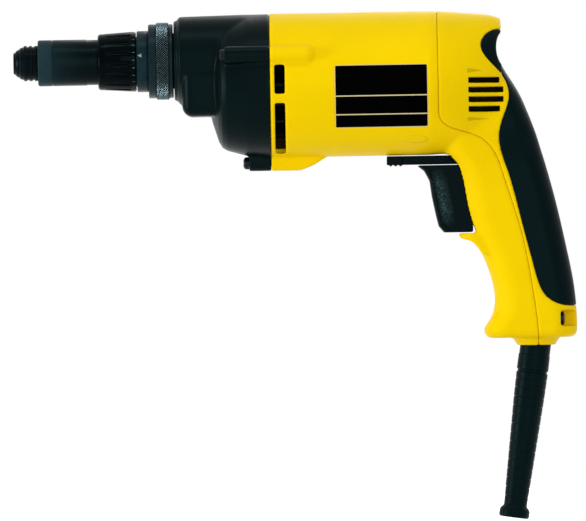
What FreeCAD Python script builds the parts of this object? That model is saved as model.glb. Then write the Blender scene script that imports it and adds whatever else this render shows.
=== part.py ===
import FreeCAD, Part
import math
import os
import re

import Sketcher

# Drywall screwdriver with a pistol grip, a press-in clutch and a depth-setting nosepiece.
# Millimetres. The bit tip is the origin, the nose points to -X and the handle hangs down along -Z.

V = FreeCAD.Vector
doc = FreeCAD.newDocument("drywall_screwdriver")

# Driving dimensions
DRIVING = {
    "running_gap": 0.05,
    "free_gap": 0.3,
    "nose_front": -6.0,
    "mouth_radius": 4.9,
    "tip_radius": 9.4,
    "tip_rear": 7.0,
    "tip_spigot_radius": 8.5,
    "bit_room_radius": 6.6,
    "sleeve_radius": 12.2,
    "sleeve_bore": 7.6,
    "sleeve_tail_radius": 11.0,
    "sleeve_tail_end": 61.0,
    "collar_front": 38.8,
    "collar_rear": 59.1,
    "collar_front_radius": 14.8,
    "collar_rear_radius": 15.9,
    "collar_flutes": 16,
    "journal_radius": 13.3,
    "index_radius": 16.2,
    "index_rear": 65.6,
    "lock_band_radius": 19.6,
    "knurl_radius": 20.6,
    "lock_rear": 78.6,
    "spigot_radius": 14.0,
    "spigot_front": 69.5,
    "flange_radius": 21.2,
    "flange_front": 79.1,
    "neck_front": 81.2,
    "neck_radius": 23.3,
    "case_rear": 129.7,
    "chin_half_width": 24.0,
    "chin_bottom": -29.9,
    "chin_top": -4.0,
    "side_screw_inset": 3.9,
    "side_screw_z": 2.0,
    "low_screw_drop": 2.8,
    "screw_radius": 1.85,
    "barrel_radius": 38.1,
    "barrel_wall": 4.0,
    "handle_wall": 5.2,
    "handle_corner": 13.0,
    "handle_half_width": 17.0,
    "grip_thickness": 2.5,
    "label_depth": 0.5,
    "gear_module": 0.7,
    "pinion_teeth": 8,
    "gear_teeth": 32,
    "spindle_radius": 7.0,
    "bush_radius": 10.5,
    "clutch_radius": 9.8,
    "stem_radius": 4.0,
    "hex_across": 6.35,
    "holder_radius": 5.5,
    "shaft_radius": 4.0,
    "journal_end_radius": 3.5,
    "core_radius": 17.3,
    "core_slots": 12,
    "field_radius": 33.5,
    "field_bore": 18.0,
    "commutator_radius": 12.0,
    "commutator_bars": 20,
    "fan_radius": 27.5,
    "fan_blades": 16,
    "trigger_half_width": 10.5,
    "trigger_travel": 7.0,
    "lever_gap": 0.4,
    "lever_thickness": 4.7,
    "lever_pivot_x": 236.0,
    "cord_lean": 8.2,
    "protector_top_x": 268.0,
    "protector_top_z": -154.5,
    "protector_length": 91.4,
    "cord_bore_radius": 4.2,
}
MOTOR_Z = "-gear_module * (pinion_teeth + gear_teeth) / 2"
# Sizes and places that follow from the driving ones
FOLLOWING = {
    "barrel_underside": "=%s - barrel_radius" % MOTOR_Z,
    "side_screw_y": "=barrel_radius - side_screw_inset",
    "low_screw_z": "=barrel_underside - low_screw_drop",
    "lever_top": "=barrel_underside - lever_gap",
    "lever_low": "=lever_top - lever_thickness",
    "trigger_top": "=lever_low - lever_gap",
}
ALL_SIZES = {**DRIVING, **FOLLOWING}
sheet = doc.addObject("Spreadsheet::Sheet", "Sizes")
for row, (alias, amount) in enumerate(ALL_SIZES.items(), start=1):
    sheet.set("A%d" % row, alias)
    sheet.set("B%d" % row, str(amount))
    sheet.setAlias("B%d" % row, alias)
doc.recompute()

TURN_TO_X = FreeCAD.Rotation(V(0, 1, 0), 90)
nodes = {}


# Reading the sheet
def size(alias):
    return float(getattr(sheet, alias))


def linked(text):
    def on_sheet(word):
        return ("Sizes." if word.group() in ALL_SIZES else "") + word.group()

    return re.sub(r"[a-z_]{4,}", on_sheet, str(text))


def amount_of(text):
    return float(sheet.evalExpression(linked(text)))


MOTOR_LEVEL = amount_of(MOTOR_Z)


def bind(item, **sizes):
    for name, text in sizes.items():
        item.setExpression(name.replace("__", "."), linked(text))


def keep(label, item):
    item.Label = label
    nodes[label] = item
    return item


# Plain solids whose sizes hang on the sheet
def rod(name, radius, x_from, x_to, y="0", z="0"):
    item = doc.addObject("Part::Cylinder", name)
    item.Placement = FreeCAD.Placement(V(), TURN_TO_X)
    bind(item, Radius=radius, Height="(%s) - (%s)" % (x_to, x_from), Placement__Base__x=x_from,
         Placement__Base__y=y, Placement__Base__z=z)
    return item


def post(name, radius, z_from, z_to, x, y="0"):
    item = doc.addObject("Part::Cylinder", name)
    bind(item, Radius=radius, Height="(%s) - (%s)" % (z_to, z_from), Placement__Base__x=x,
         Placement__Base__y=y, Placement__Base__z=z_from)
    return item


def box(name, x_span, y_span, z_span, turn=0.0, axis_z="0"):
    item = doc.addObject("Part::Box", name)
    lengths = ["(%s) - (%s)" % (high, low) for low, high in (x_span, y_span, z_span)]
    bind(item, Length=lengths[0], Width=lengths[1], Height=lengths[2])
    if turn == 0.0:
        bind(item, Placement__Base__x=x_span[0], Placement__Base__y=y_span[0],
             Placement__Base__z="(%s) + (%s)" % (axis_z, z_span[0]))
    else:
        item.Placement = FreeCAD.Placement(V(), FreeCAD.Rotation(V(1, 0, 0), turn))
        sine, cosine = math.sin(math.radians(turn)), math.cos(math.radians(turn))
        bind(item, Placement__Base__x=x_span[0],
             Placement__Base__y="(%s) * %.9f - (%s) * %.9f" % (y_span[0], cosine, z_span[0], sine),
             Placement__Base__z="(%s) + (%s) * %.9f + (%s) * %.9f" % (axis_z, y_span[0], sine, z_span[0],
                                                                      cosine))
    return item


def ring(name, middle_radius, tube_radius, x):
    item = doc.addObject("Part::Torus", name)
    item.Placement = FreeCAD.Placement(V(), TURN_TO_X)
    bind(item, Radius1=middle_radius, Radius2=tube_radius, Placement__Base__x=x)
    return item


def hexagon(name, across, x_from, x_to):
    item = doc.addObject("Part::Prism", name)
    item.Polygon = 6
    item.Placement = FreeCAD.Placement(V(), TURN_TO_X)
    bind(item, Circumradius="(%s) / sqrt(3)" % across, Height="(%s) - (%s)" % (x_to, x_from),
         Placement__Base__x=x_from)
    return item


def fused(name, items):
    item = doc.addObject("Part::MultiFuse", name)
    item.Shapes = items
    item.Refine = False
    return item


def without(name, base, tools):
    item = doc.addObject("Part::Cut", name)
    item.Base = base
    item.Tool = tools[0] if len(tools) == 1 else fused(name + "_tools", tools)
    item.Refine = False
    return item


def shared(name, items):
    item = doc.addObject("Part::MultiCommon", name)
    item.Shapes = items
    item.Refine = False
    return item


def made(name, shape):
    item = doc.addObject("Part::Feature", name)
    item.Shape = shape
    return item


def rounded(name, base, radius, pick):
    doc.recompute()
    item = doc.addObject("Part::Fillet", name)
    item.Base = base
    edges = enumerate(base.Shape.Edges, start=1)
    item.Edges = [(number, radius, radius) for number, edge in edges if pick(edge)]
    return item


# Sketched solids: every corner of the outline is a dimension bound to the sheet
def outline(body, name, plane, points):
    sketch = body.newObject("Sketcher::SketchObject", name)
    support = [feature for feature in body.Origin.OriginFeatures if feature.Role == plane][0]
    sketch.AttachmentSupport = [(support, "")]
    sketch.MapMode = "FlatFace"
    spots = [V(amount_of(across), amount_of(up), 0) for across, up in points]
    count = len(points)
    for index, spot in enumerate(spots):
        sketch.addGeometry(Part.LineSegment(spot, spots[(index + 1) % count]), False)
    for index, (across, up) in enumerate(points):
        sketch.addConstraint(Sketcher.Constraint("Coincident", index, 2, (index + 1) % count, 1))
        for kind, text, now in (("DistanceX", across, spots[index].x), ("DistanceY", up, spots[index].y)):
            number = sketch.addConstraint(Sketcher.Constraint(kind, -1, 1, index, 1, now))
            sketch.setExpression("Constraints[%d]" % number, linked(text))
    return sketch


def turned(name, points, axis_z="0"):
    body = doc.addObject("PartDesign::Body", name)
    sketch = outline(body, name + "_outline", "XZ_Plane", points)
    turn = body.newObject("PartDesign::Revolution", name + "_turn")
    turn.Profile = sketch
    turn.ReferenceAxis = (sketch, ["H_Axis"])
    turn.Angle = 360
    bind(body, Placement__Base__z=axis_z)
    return body


def tube(name, x_from, x_to, inner, outer, axis_z="0"):
    return turned(name, [(x_from, inner), (x_from, outer), (x_to, outer), (x_to, inner)], axis_z)


def slab(name, points, half_width):
    body = doc.addObject("PartDesign::Body", name)
    sketch = outline(body, name + "_outline", "XZ_Plane", points)
    pad = body.newObject("PartDesign::Pad", name + "_pad")
    pad.Profile = sketch
    pad.SideType = "Symmetric"
    bind(pad, Length="2 * (%s)" % half_width)
    return body


# Curved forms that are worked out from the sheet
def coil(turns, middle_radius, wire_radius, start, axis, length):
    helix = Part.makeHelix(length / turns, length, middle_radius)
    profile = Part.Wire([Part.Circle(V(middle_radius, 0, 0), V(0, 1, 0), wire_radius).toShape()])
    shell = Part.Wire(helix.Edges).makePipeShell([profile], True, True)
    shell.Placement = FreeCAD.Placement(start, FreeCAD.Rotation(V(0, 0, 1), axis))
    return shell


def bent_tube(stops, bend, tube_radius):
    edges = []
    here = stops[0]
    for before, corner, after in zip(stops, stops[1:], stops[2:]):
        came, goes = (corner - before).normalize(), (after - corner).normalize()
        half_turn = came.getAngle(goes) / 2
        into, out = corner - came * bend * math.tan(half_turn), corner + goes * bend * math.tan(half_turn)
        inward = (goes - came).normalize()
        middle = corner + inward * (bend / math.cos(half_turn) - bend)
        edges += [Part.LineSegment(here, into).toShape(), Part.Arc(into, middle, out).toShape()]
        here = out
    edges.append(Part.LineSegment(here, stops[-1]).toShape())
    section = Part.Wire([Part.Circle(stops[0], stops[1] - stops[0], tube_radius).toShape()])
    return Part.Wire(edges).makePipeShell([section], True, False)


def curve_through(spots):
    curve = Part.BSplineCurve()
    curve.interpolate(spots)
    return curve.toShape()


def involute_angle(base, radius, half_angle_at_base):
    roll = math.sqrt(max((radius / base) ** 2 - 1, 0))
    return half_angle_at_base - (roll - math.atan(roll))


def gear_solid(teeth, shift, tip, x_from, x_to, middle, first_angle):
    module = size("gear_module")
    pitch = module * teeth / 2
    base = pitch * math.cos(math.radians(20))
    root = pitch - module * (1.25 - shift)
    thick = module * (math.pi / 2 + 2 * shift * math.tan(math.radians(20))) - 0.10
    inv = math.tan(math.radians(20)) - math.radians(20)
    half = thick / (2 * pitch) + inv
    low = max(base, root)
    radii = [low + (tip - low) * step / 5 for step in range(6)]
    edges = []

    def spot(angle, radius):
        return V(x_from, middle.y + radius * math.sin(angle), middle.z + radius * math.cos(angle))

    starts = []
    finishes = []
    for tooth in range(teeth):
        centre = first_angle + 2 * math.pi * tooth / teeth
        rise = [spot(centre - involute_angle(base, radius, half), radius) for radius in radii]
        fall = [spot(centre + involute_angle(base, radius, half), radius) for radius in reversed(radii)]
        starts.append(spot(centre - half, root))
        finishes.append(spot(centre + half, root))
        edges += [curve_through(rise), Part.LineSegment(rise[-1], fall[0]).toShape(), curve_through(fall)]
        if root < low - 1e-6:
            edges += [Part.LineSegment(starts[-1], rise[0]).toShape(),
                      Part.LineSegment(fall[-1], finishes[-1]).toShape()]
    for finish, start in zip(finishes, starts[1:] + starts[:1]):
        edges.append(Part.LineSegment(finish, start).toShape())
    return Part.Face(Part.Wire(Part.__sortEdges__(edges))).extrude(V(x_to - x_from, 0, 0))


# Nosepiece
tip_points = [("nose_front", "mouth_radius"), ("nose_front", "mouth_radius + 0.7"),
              ("nose_front + 2.4", "tip_radius - 1.9"), ("nose_front + 4", "tip_radius - 0.8")]
for rib in range(3):
    start = "tip_rear - %.1f" % (7.6 - 2.8 * rib)
    tip_points += [(start, "tip_radius - 0.6"), (start + " + 0.3", "tip_radius"),
                   (start + " + 1.7", "tip_radius"), (start + " + 2.0", "tip_radius - 0.6")]
tip_points += [("tip_rear", "tip_spigot_radius"), ("tip_rear + 7", "tip_spigot_radius"),
               ("tip_rear + 7", "bit_room_radius"), ("nose_front + 5", "bit_room_radius"),
               ("nose_front + 5", "mouth_radius")]
keep("nose_tip", turned("nose_tip", tip_points))

keep("nose_sleeve", turned("nose_sleeve", [
    ("tip_rear", "tip_spigot_radius"), ("tip_rear", "sleeve_radius - 0.9"),
    ("tip_rear + 0.9", "sleeve_radius"), ("collar_front + 0.7", "sleeve_radius"),
    ("collar_front + 0.7", "sleeve_tail_radius"), ("sleeve_tail_end", "sleeve_tail_radius"),
    ("sleeve_tail_end", "sleeve_bore"), ("tip_rear + 7", "sleeve_bore"),
    ("tip_rear + 7", "tip_spigot_radius")]))

collar_blank = turned("collar_blank", [
    ("collar_front", "sleeve_radius + free_gap"), ("collar_front", "collar_front_radius - 1.0"),
    ("collar_front + 1.0", "collar_front_radius"), ("collar_rear - 0.8", "collar_rear_radius"),
    ("collar_rear", "collar_rear_radius - 0.8"), ("collar_rear", "journal_radius + running_gap"),
    ("collar_rear - 6", "journal_radius + running_gap"),
    ("collar_rear - 6", "sleeve_tail_radius + free_gap"),
    ("collar_front + 7.7", "sleeve_tail_radius + free_gap"),
    ("collar_front + 7.7", "sleeve_radius + free_gap")])
flutes = []
for number in range(int(size("collar_flutes"))):
    angle = 360 * number / size("collar_flutes")
    flutes.append(rod("flute_%02d" % number, "1.5", "collar_front + 5", "collar_rear + 1",
                      "(collar_rear_radius + 0.9) * cos(%.3f deg)" % angle,
                      "(collar_rear_radius + 0.9) * sin(%.3f deg)" % angle))
keep("adjuster_collar", without("adjuster_collar", collar_blank, flutes))

keep("index_ring", turned("index_ring", [
    ("collar_rear - 5", "sleeve_tail_radius + running_gap"), ("collar_rear - 5", "journal_radius"),
    ("collar_rear + 0.4", "journal_radius"), ("collar_rear + 0.4", "index_radius - 0.5"),
    ("collar_rear + 0.9", "index_radius"), ("index_rear - 0.5", "index_radius"),
    ("index_rear", "index_radius - 0.5"),
    ("index_rear", "spigot_radius - 0.1"), ("spigot_front - 0.5", "spigot_radius - 0.1"),
    ("spigot_front - 0.5", "sleeve_tail_radius + running_gap")]))

lock_blank = turned("lock_blank", [
    ("index_rear", "spigot_radius - 0.1"), ("index_rear", "lock_band_radius - 0.6"),
    ("index_rear + 0.6", "lock_band_radius"), ("index_rear + 3.7", "lock_band_radius"),
    ("index_rear + 4.1", "knurl_radius"), ("lock_rear - 2.2", "knurl_radius"),
    ("lock_rear - 1.8", "lock_band_radius"), ("lock_rear - 0.4", "lock_band_radius"),
    ("lock_rear", "lock_band_radius - 0.4"), ("lock_rear", "spigot_radius + running_gap"),
    ("spigot_front - 0.5", "spigot_radius + running_gap"), ("spigot_front - 0.5", "spigot_radius - 0.1")])
RING_X = "(spigot_front + lock_rear) / 2"
keep("knurled_collar", without("knurled_collar", lock_blank,
                               [ring("ring_groove", "spigot_radius + 0.9", "0.95", RING_X)]))
keep("lock_spring_ring", ring("lock_spring_ring", "spigot_radius + 0.9", "0.82", RING_X))

# Gear case
case_front = turned("case_front", [
    ("spigot_front", "bush_radius"), ("spigot_front", "spigot_radius - 0.8"),
    ("spigot_front + 0.8", "spigot_radius"), ("flange_front", "spigot_radius"),
    ("flange_front", "flange_radius - 0.5"), ("flange_front + 0.5", "flange_radius"),
    ("neck_front", "flange_radius"), ("neck_front", "neck_radius - 1.2"), ("neck_front + 1.2", "neck_radius"),
    ("case_rear - 14", "neck_radius + 0.6"), ("case_rear - 1", "neck_radius + 0.6"),
    ("case_rear - 1", "bush_radius")])
case_main = turned("case_main", [
    ("case_rear - 31", "0"), ("case_rear - 31", "barrel_radius - 20"),
    ("case_rear - 27.4", "barrel_radius - 8.6"),
    ("case_rear - 25.6", "barrel_radius - 5.6"), ("case_rear - 23.1", "barrel_radius - 4"),
    ("case_rear - 12", "barrel_radius - 0.9"), ("case_rear", "barrel_radius"), ("case_rear", "0")], MOTOR_Z)
chin_block = box("chin_block", ("neck_front + 2", "case_rear - 24"), ("-chin_half_width", "chin_half_width"),
                 ("chin_bottom", "chin_top"))
chin = rounded("chin", chin_block, 5.5, lambda edge: True)
SIDES = (("left", -1), ("right", 1))


def reach(sign, low, high):
    return (str(low), str(high)) if sign > 0 else (str(-high), str(-low))


tunnels = [rod("tunnel_" + side, "screw_radius + 2.9", "case_rear - 23.7", "case_rear",
               "%d * side_screw_y" % sign, "side_screw_z") for side, sign in SIDES]
low_boss = [rod("low_boss", "screw_radius + 2.4", "case_rear - 11.7", "case_rear", "0", "low_screw_z"),
            box("low_boss_web", ("case_rear - 11.7", "case_rear"),
                ("-screw_radius - 2.4", "screw_radius + 2.4"), ("low_screw_z", "low_screw_z + 9"))]
case_cuts = [rod("case_room", "barrel_radius - 8.1", "case_rear - 23.7", "case_rear + 1", "0", MOTOR_Z),
             rod("plate_seat", "barrel_radius - 5.1", "case_rear - 11.7", "case_rear + 1", "0", MOTOR_Z),
             rod("clutch_room", "bush_radius", "spigot_front - 1", "case_rear - 20"),
             box("grease_room", ("neck_front + 6", "case_rear - 20"),
                 ("4 - chin_half_width", "chin_half_width - 4"), ("chin_bottom + 4", "-bush_radius - 1.2"))]
case_cuts += [rod("case_hole_" + side, "screw_radius + running_gap", "case_rear - 25", "case_rear + 1",
                  "%d * side_screw_y" % sign, "side_screw_z") for side, sign in SIDES]
case_cuts.append(rod("case_hole_low", "screw_radius + running_gap", "case_rear - 13", "case_rear + 1", "0",
                     "low_screw_z"))
case_solid = fused("case_solid", [case_front, case_main, chin] + tunnels + low_boss)
keep("gear_case", without("gear_case", case_solid, case_cuts))


def case_screw(name, x_seat, x_end, y, z):
    head = turned(name + "_head", [
        ("(%s) - 3.2" % x_seat, "1.6"), ("(%s) - 3.2" % x_seat, "2.4"), ("(%s) - 2.2" % x_seat, "3.3"),
        (x_seat, "3.3"), (x_seat, "0"), ("(%s) - 1.6" % x_seat, "0"), ("(%s) - 1.6" % x_seat, "1.6")])
    bind(head, Placement__Base__y=y, Placement__Base__z=z)
    return fused(name, [head, rod(name + "_shank", "screw_radius", x_seat, x_end, y, z)])


case_screws = [case_screw("case_screw_" + side, "case_rear - 23.7", "case_rear + 16",
                          "%d * side_screw_y" % sign, "side_screw_z") for side, sign in SIDES]
case_screws.append(case_screw("case_screw_low", "case_rear - 11.7", "case_rear + 14", "0", "low_screw_z"))
gear_case_screws = doc.addObject("Part::Compound", "gear_case_screws")
gear_case_screws.Links = case_screws
keep("gear_case_screws", gear_case_screws)

# Spindle and clutch
keep("spindle_bush", tube("spindle_bush", "spigot_front", "neck_front + 2.8", "spindle_radius + running_gap",
                          "bush_radius"))
keep("thrust_washer", tube("thrust_washer", "neck_front + 3.1", "neck_front + 5", "spindle_radius + free_gap",
                           "clutch_radius - 0.2"))


def dogs(name, x_from, x_to, first):
    span = ("stem_radius + 3.2", "clutch_radius - 0.4")
    return [box("%s_%d" % (name, number), (x_from, x_to), ("-2.4", "2.4"), span,
                first + 120.0 * number + 0.001) for number in range(3)]


spindle_blank = turned("spindle_blank", [
    ("50", "0"), ("50", "spindle_radius - 0.7"), ("50.7", "spindle_radius"),
    ("neck_front + 5.3", "spindle_radius"), ("neck_front + 5.3", "clutch_radius"),
    ("neck_front + 8.8", "clutch_radius"), ("neck_front + 8.8", "stem_radius"),
    ("case_rear - 16.7", "stem_radius"), ("case_rear - 16.7", "0")])
spindle_dogs = dogs("spindle_dog", "neck_front + 8.7", "neck_front + 10.8", 0)
spindle_solid = fused("spindle_solid", [spindle_blank] + spindle_dogs)
spindle_socket = hexagon("spindle_socket", "hex_across + 0.1", "49", "65")
keep("spindle", without("spindle", spindle_solid, [spindle_socket]))

keep("clutch_spring", made("clutch_spring", coil(4.5, size("stem_radius") + 1.6, 0.5,
                                                 V(size("neck_front") + 9.6, 0, 0), V(1, 0, 0), 8.4)))

gear_tip = size("gear_module") * size("gear_teeth") / 2 + size("gear_module") * 0.48
gear_teeth = made("gear_ring", gear_solid(int(size("gear_teeth")), -0.5, gear_tip, size("case_rear") - 21.7,
                                          size("case_rear") - 13.7, V(0, 0, 0), math.pi))
gear_hub = rod("gear_hub", "clutch_radius", "neck_front + 13.8", "case_rear - 21.6")
gear_tail = rod("gear_tail", "6", "case_rear - 13.8", "case_rear - 8.2")
gear_parts = [gear_teeth, gear_hub, gear_tail]
gear_parts += dogs("gear_dog", "neck_front + 11.8", "neck_front + 13.9", 60)
gear_cuts = [rod("gear_bore", "stem_radius + running_gap", "neck_front + 13", "case_rear"),
             rod("gear_spring_seat", "stem_radius + 2.6", "neck_front + 13", "neck_front + 18.9")]
keep("spindle_gear", without("spindle_gear", fused("gear_solid", gear_parts), gear_cuts))

bit_body = turned("bit_body", [
    ("0", "0"), ("0", "0.7"), ("4.6", "2.9"), ("9", "2.9"), ("10.5", "hex_across / 2"),
    ("12", "hex_across / 2"), ("12", "0")])
bit_hex = hexagon("bit_hex", "hex_across", "12", "25.4")
bit_flutes = []
for number in range(4):
    flute = doc.addObject("Part::Cylinder", "bit_flute_%d" % number)
    angle = 45 + 90 * number
    side = FreeCAD.Rotation(V(1, 0, 0), angle)
    lean = side.multiply(FreeCAD.Rotation(V(0, 1, 0), 78))
    flute.Placement = FreeCAD.Placement(side.multVec(V(-1, 0, 1.45)), lean)
    bind(flute, Radius="hex_across * 0.14", Height="8")
    bit_flutes.append(flute)
keep("screw_bit", without("screw_bit", fused("bit_solid", [bit_body, bit_hex]), bit_flutes))

holder_blank = turned("holder_blank", [
    ("12.2", "0"), ("12.2", "holder_radius - 0.8"), ("13", "holder_radius"), ("48.7", "holder_radius"),
    ("49.6", "holder_radius - 0.9"), ("49.6", "0")])
holder_solid = fused("holder_solid", [holder_blank, hexagon("holder_shank", "hex_across", "49.5", "64.5")])
keep("bit_holder", without("bit_holder", holder_solid, [
    hexagon("holder_socket", "hex_across + 0.1", "12", "25.5"), rod("magnet_hole", "3", "25", "30"),
    ring("bit_ring_groove", "hex_across * 0.68", "0.55", "16")]))
keep("bit_ring", ring("bit_ring", "hex_across * 0.68", "0.48", "16"))
keep("bit_magnet", rod("bit_magnet", "2.95", "25.6", "30"))

# Bearing plate and ball bearings
plate_blank = turned("plate_blank", [
    ("case_rear - 11.7", "shaft_radius + 0.6"), ("case_rear - 11.7", "barrel_radius - 5.1"),
    ("case_rear - 6.7", "barrel_radius - 5.1"), ("case_rear - 6.7", "13.5"), ("case_rear + 0.4", "13.5"),
    ("case_rear + 0.4", "11"), ("case_rear - 6.7", "11"), ("case_rear - 6.7", "shaft_radius + 0.6")], MOTOR_Z)
keep("bearing_plate", without("bearing_plate", plate_blank,
                              [rod("gear_bush_hole", "8", "case_rear - 12", "case_rear - 6")]))
keep("gear_bush", tube("gear_bush", "case_rear - 11.7", "case_rear - 6.9", "6 + running_gap", "8"))


def ball_bearing(name, x_from, width, inner, outer, ball_count):
    x_to = "(%s) + %s" % (x_from, width)
    middle = "(%s) + %s / 2" % (x_from, width)
    pitch = "((%s) + (%s)) / 2" % (inner, outer)
    ball = "((%s) - (%s)) / 4" % (outer, inner)
    land = ball + " * 0.55"
    groove = doc.addObject("Part::Torus", name + "_groove")
    groove.Placement = FreeCAD.Placement(V(), TURN_TO_X)
    bind(groove, Radius1=pitch, Radius2=ball + " + 0.03", Placement__Base__x=middle,
         Placement__Base__z=MOTOR_Z)
    outer_blank = tube(name + "_outer_blank", x_from, x_to, "%s + %s" % (pitch, land), outer, MOTOR_Z)
    inner_blank = tube(name + "_inner_blank", x_from, x_to, inner, "%s - %s" % (pitch, land), MOTOR_Z)
    keep(name + "_outer", without(name + "_outer", outer_blank, [groove]))
    keep(name + "_inner", without(name + "_inner", inner_blank, [groove]))
    balls = []
    for number in range(ball_count):
        item = doc.addObject("Part::Sphere", "%s_ball_%d" % (name, number))
        angle = 360 * number / ball_count
        bind(item, Radius=ball, Placement__Base__x=middle,
             Placement__Base__y="(%s) * cos(%.3f deg)" % (pitch, angle),
             Placement__Base__z="%s + (%s) * sin(%.3f deg)" % (MOTOR_Z, pitch, angle))
        balls.append(item)
    group = doc.addObject("Part::Compound", name + "_balls")
    group.Links = balls
    keep(name + "_balls", group)


ball_bearing("front_bearing", "case_rear - 6.6", "7", "shaft_radius", "11", 7)
ball_bearing("rear_bearing", "212.1", "6", "journal_end_radius", "9.5", 7)

# Armature
shaft_blank = turned("shaft_blank", [
    ("case_rear - 22.7", "0"), ("case_rear - 22.7", "2"), ("case_rear - 12.5", "2"),
    ("case_rear - 11.9", "shaft_radius"), ("211.5", "shaft_radius"), ("211.5", "journal_end_radius"),
    ("218.6", "journal_end_radius"), ("218.6", "0")], MOTOR_Z)
pinion_tip = size("gear_module") * size("pinion_teeth") / 2 + size("gear_module") * 1.1
pinion = made("pinion_teeth", gear_solid(int(size("pinion_teeth")), 0.5, pinion_tip, size("case_rear") - 22.7,
                                         size("case_rear") - 12.7, V(0, 0, MOTOR_LEVEL),
                                         math.pi / size("pinion_teeth")))
keep("armature_shaft", fused("armature_shaft", [shaft_blank, pinion]))

slot_rods = []
slot_mouths = []
winding_bars = []
for number in range(int(size("core_slots"))):
    angle = 360 * number / size("core_slots")
    across = "(core_radius - 4.4) * sin(%.3f deg)" % -angle
    up = "%s + (core_radius - 4.4) * cos(%.3f deg)" % (MOTOR_Z, angle)
    slot_rods.append(rod("slot_%02d" % number, "2.6", "149", "191", across, up))
    slot_mouths.append(box("slot_mouth_%02d" % number, ("149", "191"), ("-0.9", "0.9"),
                           ("core_radius - 4.4", "core_radius + 1"), angle + 0.001, MOTOR_Z))
    winding_bars.append(rod("winding_bar_%02d" % number, "2.5", "149", "191", across, up))
core_blank = tube("core_blank", "150", "190", "shaft_radius", "core_radius", MOTOR_Z)
keep("armature_core", without("armature_core", core_blank, slot_rods + slot_mouths))
end_turns = [turned("end_turn_front", [("142.6", "shaft_radius + 2"), ("142.6", "core_radius - 5"),
                                       ("145", "core_radius - 2.4"), ("150", "core_radius - 1.6"),
                                       ("150", "shaft_radius + 2")], MOTOR_Z),
             turned("end_turn_rear", [("190", "shaft_radius + 2"), ("190", "core_radius - 1.6"),
                                      ("194.5", "core_radius - 2.4"), ("197.6", "core_radius - 4.4"),
                                      ("197.6", "shaft_radius + 2")], MOTOR_Z)]
keep("armature_windings", fused("armature_windings", end_turns + winding_bars))

bar_slits = []
for number in range(int(size("commutator_bars"))):
    bar_slits.append(box("bar_slit_%02d" % number, ("200.8", "210"), ("-0.3", "0.3"),
                         ("commutator_radius - 0.9", "commutator_radius + 2"),
                         360 * number / size("commutator_bars") + 0.001, MOTOR_Z))
commutator_blank = turned("commutator_blank", [
    ("198.2", "shaft_radius"), ("198.2", "commutator_radius + 1"), ("200.4", "commutator_radius + 1"),
    ("200.4", "commutator_radius"), ("209", "commutator_radius"), ("209", "shaft_radius")], MOTOR_Z)
keep("commutator", without("commutator", commutator_blank, bar_slits))

fan_blank = turned("fan_blank", [
    ("131", "shaft_radius"), ("131", "fan_radius"), ("132.5", "fan_radius"), ("132.5", "9"), ("140", "8"),
    ("140", "shaft_radius")], MOTOR_Z)
blades = []
for number in range(int(size("fan_blades"))):
    blades.append(box("blade_%02d" % number, ("132.2", "139.4"), ("-0.7", "0.7"), ("7.5", "fan_radius - 0.3"),
                      360 * number / size("fan_blades") + 0.001, MOTOR_Z))
keep("cooling_fan", fused("cooling_fan", [fan_blank] + blades))

# Field and brushes
yoke = tube("yoke", "152", "188", "field_radius - 6.5", "field_radius", MOTOR_Z)
poles = [box("pole_" + side, ("152", "188"), ("-12", "12"),
             ("15", "field_radius - 4") if sign > 0 else ("4 - field_radius", "-15"), 0.0, MOTOR_Z)
         for side, sign in (("low", -1), ("high", 1))]
horn_ring = tube("horn_ring", "152", "188", "field_bore", "field_bore + 1.6", MOTOR_Z)
horn_box = box("horn_box", ("151", "189"), ("-15.5", "15.5"), ("-25", "25"), 0.0, MOTOR_Z)
horns = shared("horns", [horn_ring, horn_box])
keep("field_core", without("field_core", fused("field_solid", [yoke, horns] + poles),
                           [rod("field_hole", "field_bore", "151", "189", "0", MOTOR_Z)]))
coils = []
for side, span in (("high", ("7", "30")), ("low", ("-30", "-7"))):
    wrap = tube("coil_wrap_" + side, "145", "195", "field_bore + 1.9", "field_radius - 6.8", MOTOR_Z)
    half = box("coil_half_" + side, ("144", "196"), ("-21", "21"), span, 0.0, MOTOR_Z)
    window = box("coil_window_" + side, ("151.7", "188.3"), ("-12.3", "12.3"), span, 0.0, MOTOR_Z)
    coils.append(without("coil_" + side, shared("coil_blank_" + side, [wrap, half]), [window]))
field_windings = doc.addObject("Part::Compound", "field_windings")
field_windings.Links = coils
keep("field_windings", field_windings)

holders = []
brushes = []
springs = []
for side, sign in SIDES:
    shell = box("holder_shell_" + side, ("199.6", "210"), reach(sign, 14, 30), ("-5.4", "5.4"), 0.0, MOTOR_Z)
    room = box("holder_room_" + side, ("201.1", "207.1"), reach(sign, 13, 28.8), ("-4.1", "4.1"), 0.0,
               MOTOR_Z)
    holders.append(without("holder_" + side, shell, [room]))
    carbon = box("carbon_" + side, ("201.15", "207.05"), reach(sign, 10, 23), ("-4.05", "4.05"), 0.0, MOTOR_Z)
    seat = rod("brush_seat_" + side, "commutator_radius + running_gap", "200", "208", "0", MOTOR_Z)
    brushes.append(without("brush_" + side, carbon, [seat]))
    spring_start = V(204.1, sign * 23.4, MOTOR_LEVEL)
    springs.append(made("brush_spring_" + side, coil(5, 2.4, 0.35, spring_start, V(0, sign, 0), 5.0)))
for label, items in (("brush_holders", holders), ("brushes", brushes), ("brush_springs", springs)):
    group = doc.addObject("Part::Compound", label)
    group.Links = items
    keep(label, group)

# Body form: a round barrel that narrows to the rear and a rounded handle below it
# Barrel rows: place along X, drop of the top, rise of the bottom, narrowing of each side
BARREL_ROWS = [(214, 0, 0, 0), (223, 0.35, 0.4, 1.8), (233, 1.2, 1.1, 5.1), (243, 2.1, 3.6, 10.1),
               (249, 3.2, 7.1, 14.6), (252.4, 4.9, 11.1, 18.6)]
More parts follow.
